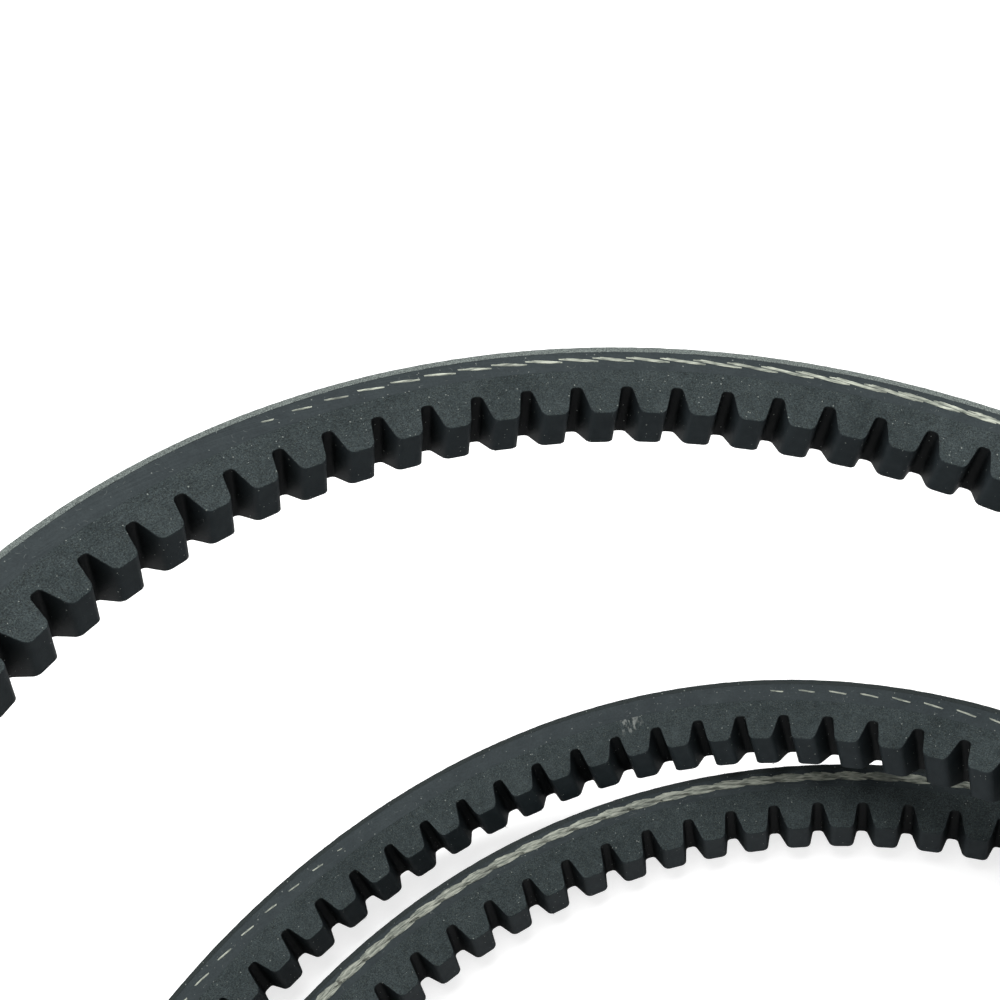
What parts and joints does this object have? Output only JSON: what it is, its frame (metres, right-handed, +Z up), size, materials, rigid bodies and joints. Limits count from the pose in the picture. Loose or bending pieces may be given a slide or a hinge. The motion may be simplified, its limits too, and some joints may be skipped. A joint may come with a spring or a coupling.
{
  "type": "v belt",
  "caption": "Endless raw-edge cogged V-belt put away as a loose multi-loop coil: fabric back, cream cord ply showing at the flank, and moulded cogs inside.",
  "frame": {"origin": "on the resting plane, under the middle of the coil's footprint", "axes": "+Z up off the flank the coil lies on; +Y towards the raised far side of the top loop; +X to the right of it"},
  "size_m": [0.2802, 0.2938, 0.1346],
  "materials": {
    "back_fabric": "rough woven fabric rubbed into rubber",
    "overcord_gum": "matte",
    "cord_ply": "twisted cream polyester cord",
    "undercord_gum": "satin",
    "cogged_base": "cut fibre-loaded rubber flanks, moulded satin cogs"
  },
  "bodies": {
    "coil": {"coil_back_fabric": "back_fabric", "coil_overcord_gum": "overcord_gum", "coil_cord_ply": "cord_ply", "coil_undercord_gum": "undercord_gum", "coil_cogged_base": "cogged_base"},
    "right_link": {"right_link_back_fabric": "back_fabric", "right_link_overcord_gum": "overcord_gum", "right_link_cord_ply": "cord_ply", "right_link_undercord_gum": "undercord_gum", "right_link_cogged_base": "cogged_base"},
    "far_arc": {"far_arc_back_fabric": "back_fabric", "far_arc_overcord_gum": "overcord_gum", "far_arc_cord_ply": "cord_ply", "far_arc_undercord_gum": "undercord_gum", "far_arc_cogged_base": "cogged_base"},
    "left_link": {"left_link_back_fabric": "back_fabric", "left_link_overcord_gum": "overcord_gum", "left_link_cord_ply": "cord_ply", "left_link_undercord_gum": "undercord_gum", "left_link_cogged_base": "cogged_base"},
    "joining_run": {"joining_run_back_fabric": "back_fabric", "joining_run_overcord_gum": "overcord_gum", "joining_run_cord_ply": "cord_ply", "joining_run_undercord_gum": "undercord_gum", "joining_run_cogged_base": "cogged_base"}
  },
  "joints": [
    {"name": "right_near_flex", "type": "hinge", "parent": "coil", "child": "right_link", "pos_m": [0.13549, 0.01615, 0.05435], "axis": [0.2106, -0.1151, 0.9708], "range_deg": [-6, 6], "stiffness_Nm_per_rad": 12},
    {"name": "right_far_flex", "type": "hinge", "parent": "right_link", "child": "far_arc", "pos_m": [0.1002, 0.10007, 0.07766], "axis": [0.2106, -0.1151, 0.9708], "range_deg": [-6, 6], "stiffness_Nm_per_rad": 12},
    {"name": "left_far_flex", "type": "hinge", "parent": "far_arc", "child": "left_link", "pos_m": [-0.1115, 0.03855, 0.12557], "axis": [0.2106, -0.1151, 0.9708], "range_deg": [-6, 6], "stiffness_Nm_per_rad": 12},
    {"name": "left_near_flex", "type": "hinge", "parent": "left_link", "child": "joining_run", "pos_m": [-0.07411, -0.0465, 0.11189], "axis": [0.2106, -0.1151, 0.9708], "range_deg": [-6, 6], "stiffness_Nm_per_rad": 12}
  ],
  "couplings": [
    {"joint": "right_far_flex", "follows": "right_near_flex", "ratio": -1},
    {"joint": "left_far_flex", "follows": "right_near_flex", "ratio": 1},
    {"joint": "left_near_flex", "follows": "right_near_flex", "ratio": -1}
  ]
}
